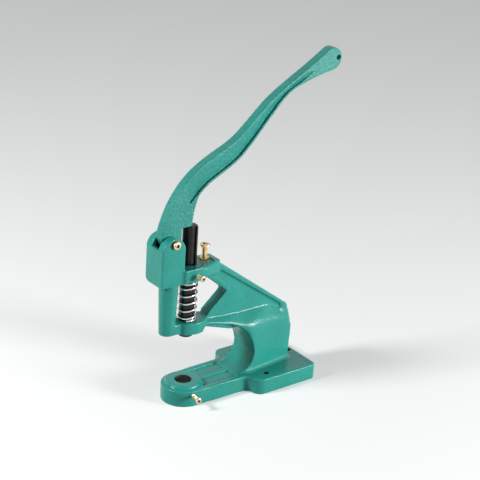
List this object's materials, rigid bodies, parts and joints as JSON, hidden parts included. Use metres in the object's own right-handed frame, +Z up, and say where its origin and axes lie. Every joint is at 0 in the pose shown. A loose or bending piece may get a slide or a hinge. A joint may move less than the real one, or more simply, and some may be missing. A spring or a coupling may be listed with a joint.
{
  "type": "eyelet machine",
  "caption": "Hand press for setting eyelets: cast frame with round die bed, long curved lever, keyed spring-return plunger, stop bolt and set screws.",
  "frame": {"origin": "axis of the die hole at the underside of the base", "axes": "+Z up along the die hole and plunger, +Y from the die towards the column, +X to the side that carries the guide and clamp screws"},
  "size_m": [0.073, 0.1954, 0.3155],
  "materials": {
    "green_paint": "gloss green enamel on cast iron",
    "black_steel": "black oxide",
    "bright_steel": "bright nickel",
    "yellow_zinc": "yellow zinc plate"
  },
  "bodies": {
    "frame": {"frame_casting": "green_paint", "pivot_pin": "black_steel", "pivot_screw_near": "yellow_zinc", "pivot_screw_far": "yellow_zinc", "pivot_washer_near": "black_steel", "pivot_washer_far": "black_steel", "return_spring": "bright_steel", "stop_lock_nut": "yellow_zinc", "guide_screw": "yellow_zinc"},
    "lever": {"lever": "green_paint"},
    "plunger": {"plunger": "black_steel", "punch_grub_screw": "black_steel", "retaining_ring": "black_steel", "spring_washer": "bright_steel"},
    "stop_bolt": {"stop_bolt": "yellow_zinc"},
    "die_clamp_screw": {"die_clamp_screw": "yellow_zinc"}
  },
  "joints": [
    {"name": "lever_pivot", "type": "hinge", "parent": "frame", "child": "lever", "pos_m": [0, -0.0245, 0.163], "axis": [-1, 0, 0], "range_deg": [0, 60]},
    {"name": "plunger_slide", "type": "slide", "parent": "frame", "child": "plunger", "axis": [0, 0, -1], "range_m": [0, 0.025], "stiffness_N_per_m": 3400, "springref_m": -0.007, "deforming": ["return_spring"]},
    {"name": "stop_bolt_adjust", "type": "slide", "parent": "frame", "child": "stop_bolt", "axis": [0, 0, -1], "range_m": [0, 0.008]},
    {"name": "die_clamp", "type": "slide", "parent": "frame", "child": "die_clamp_screw", "axis": [-0.9903, 0.1392, 0], "range_m": [0, 0.0045]}
  ],
  "couplings": [
    {"joint": "plunger_slide", "follows": "lever_pivot", "m_per_rad": 0.0238}
  ]
}
